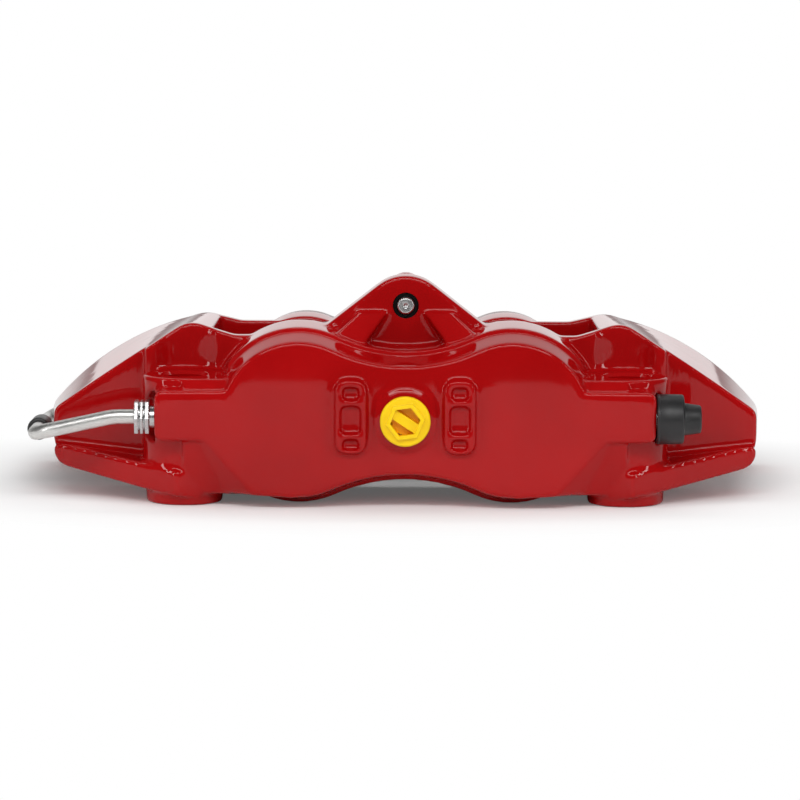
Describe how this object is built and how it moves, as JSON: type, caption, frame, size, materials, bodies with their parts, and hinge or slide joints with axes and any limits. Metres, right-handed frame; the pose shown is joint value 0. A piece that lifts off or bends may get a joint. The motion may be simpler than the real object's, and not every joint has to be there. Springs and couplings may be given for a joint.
{
  "type": "brake caliper",
  "caption": "Red fixed radial-mount brake caliper with opposed pistons, pads on one retaining pin, a crossover pipe, capped bleed screws and a plugged inlet.",
  "frame": {"origin": "midway between the two mounting bolts, on the plane of the mounting faces", "axes": "+X along the caliper towards the bleed screws, +Y outboard along the wheel axle, +Z radially outward from the mounting faces"},
  "size_m": [0.2629, 0.1559, 0.0772],
  "materials": {
    "red_paint": "gloss",
    "piston_metal": "satin",
    "seal_rubber": "satin",
    "stainless": "satin",
    "plate_steel": "satin",
    "friction": "matte",
    "plated_steel": "satin",
    "dark_spring_steel": "satin",
    "pipe_steel": "satin",
    "black_rubber": "satin",
    "yellow_plastic": "gloss"
  },
  "bodies": {
    "caliper": {"caliper_body": "red_paint", "dust_seal_inboard_left": "seal_rubber", "pressure_seal_inboard_left": "seal_rubber", "abutment_inboard_left": "stainless", "dust_seal_inboard_right": "seal_rubber", "pressure_seal_inboard_right": "seal_rubber", "abutment_inboard_right": "stainless", "tube_nut_inboard": "plated_steel", "dust_seal_outboard_left": "seal_rubber", "pressure_seal_outboard_left": "seal_rubber", "abutment_outboard_left": "stainless", "dust_seal_outboard_right": "seal_rubber", "pressure_seal_outboard_right": "seal_rubber", "abutment_outboard_right": "stainless", "tube_nut_outboard": "plated_steel", "pad_spring": "stainless", "crossover_pipe": "pipe_steel", "pipe_hose": "black_rubber"},
    "piston_inboard_left": {"piston_inboard_left": "piston_metal"},
    "piston_inboard_right": {"piston_inboard_right": "piston_metal"},
    "pad_inboard": {"pad_inboard_backplate": "plate_steel", "pad_inboard_friction": "friction", "pad_inboard_shim": "stainless"},
    "bleed_screw_inboard": {"bleed_screw_inboard": "plated_steel"},
    "bleed_cap_inboard": {"bleed_cap_inboard": "black_rubber"},
    "piston_outboard_left": {"piston_outboard_left": "piston_metal"},
    "piston_outboard_right": {"piston_outboard_right": "piston_metal"},
    "pad_outboard": {"pad_outboard_backplate": "plate_steel", "pad_outboard_friction": "friction", "pad_outboard_shim": "stainless"},
    "bleed_screw_outboard": {"bleed_screw_outboard": "plated_steel"},
    "bleed_cap_outboard": {"bleed_cap_outboard": "black_rubber"},
    "pad_pin": {"pad_pin": "plated_steel", "pin_sleeve": "dark_spring_steel"},
    "inlet_plug": {"inlet_plug": "yellow_plastic"}
  },
  "joints": [
    {"name": "pad_inboard_slide", "type": "slide", "parent": "caliper", "child": "pad_inboard", "axis": [0, 1, 0], "range_m": [0, 0.011]},
    {"name": "piston_inboard_left_slide", "type": "slide", "parent": "caliper", "child": "piston_inboard_left", "axis": [0, 1, 0], "range_m": [0, 0.011]},
    {"name": "piston_inboard_right_slide", "type": "slide", "parent": "caliper", "child": "piston_inboard_right", "axis": [0, 1, 0], "range_m": [0, 0.011]},
    {"name": "bleed_screw_inboard_turn", "type": "hinge", "parent": "caliper", "child": "bleed_screw_inboard", "pos_m": [0.0857, -0.01275, 0.0307], "axis": [1, 0, 0], "range_deg": [-360, 0]},
    {"name": "bleed_cap_inboard_pull", "type": "slide", "parent": "bleed_screw_inboard", "child": "bleed_cap_inboard", "axis": [1, 0, 0], "range_m": [0, 0.02]},
    {"name": "pad_outboard_slide", "type": "slide", "parent": "caliper", "child": "pad_outboard", "axis": [0, -1, 0], "range_m": [0, 0.011]},
    {"name": "piston_outboard_left_slide", "type": "slide", "parent": "caliper", "child": "piston_outboard_left", "axis": [0, -1, 0], "range_m": [0, 0.011]},
    {"name": "piston_outboard_right_slide", "type": "slide", "parent": "caliper", "child": "piston_outboard_right", "axis": [0, -1, 0], "range_m": [0, 0.011]},
    {"name": "bleed_screw_outboard_turn", "type": "hinge", "parent": "caliper", "child": "bleed_screw_outboard", "pos_m": [0.0857, 0.12275, 0.0307], "axis": [1, 0, 0], "range_deg": [-360, 0]},
    {"name": "bleed_cap_outboard_pull", "type": "slide", "parent": "bleed_screw_outboard", "child": "bleed_cap_outboard", "axis": [1, 0, 0], "range_m": [0, 0.02]},
    {"name": "pad_pin_pull", "type": "slide", "parent": "caliper", "child": "pad_pin", "axis": [0, -1, 0], "range_m": [0, 0.096]},
    {"name": "inlet_plug_pull", "type": "slide", "parent": "caliper", "child": "inlet_plug", "axis": [0, -1, 0], "range_m": [0, 0.014]}
  ],
  "couplings": [
    {"joint": "piston_inboard_left_slide", "follows": "pad_inboard_slide", "ratio": 1},
    {"joint": "piston_inboard_right_slide", "follows": "pad_inboard_slide", "ratio": 1},
    {"joint": "piston_outboard_left_slide", "follows": "pad_outboard_slide", "ratio": 1},
    {"joint": "piston_outboard_right_slide", "follows": "pad_outboard_slide", "ratio": 1}
  ]
}
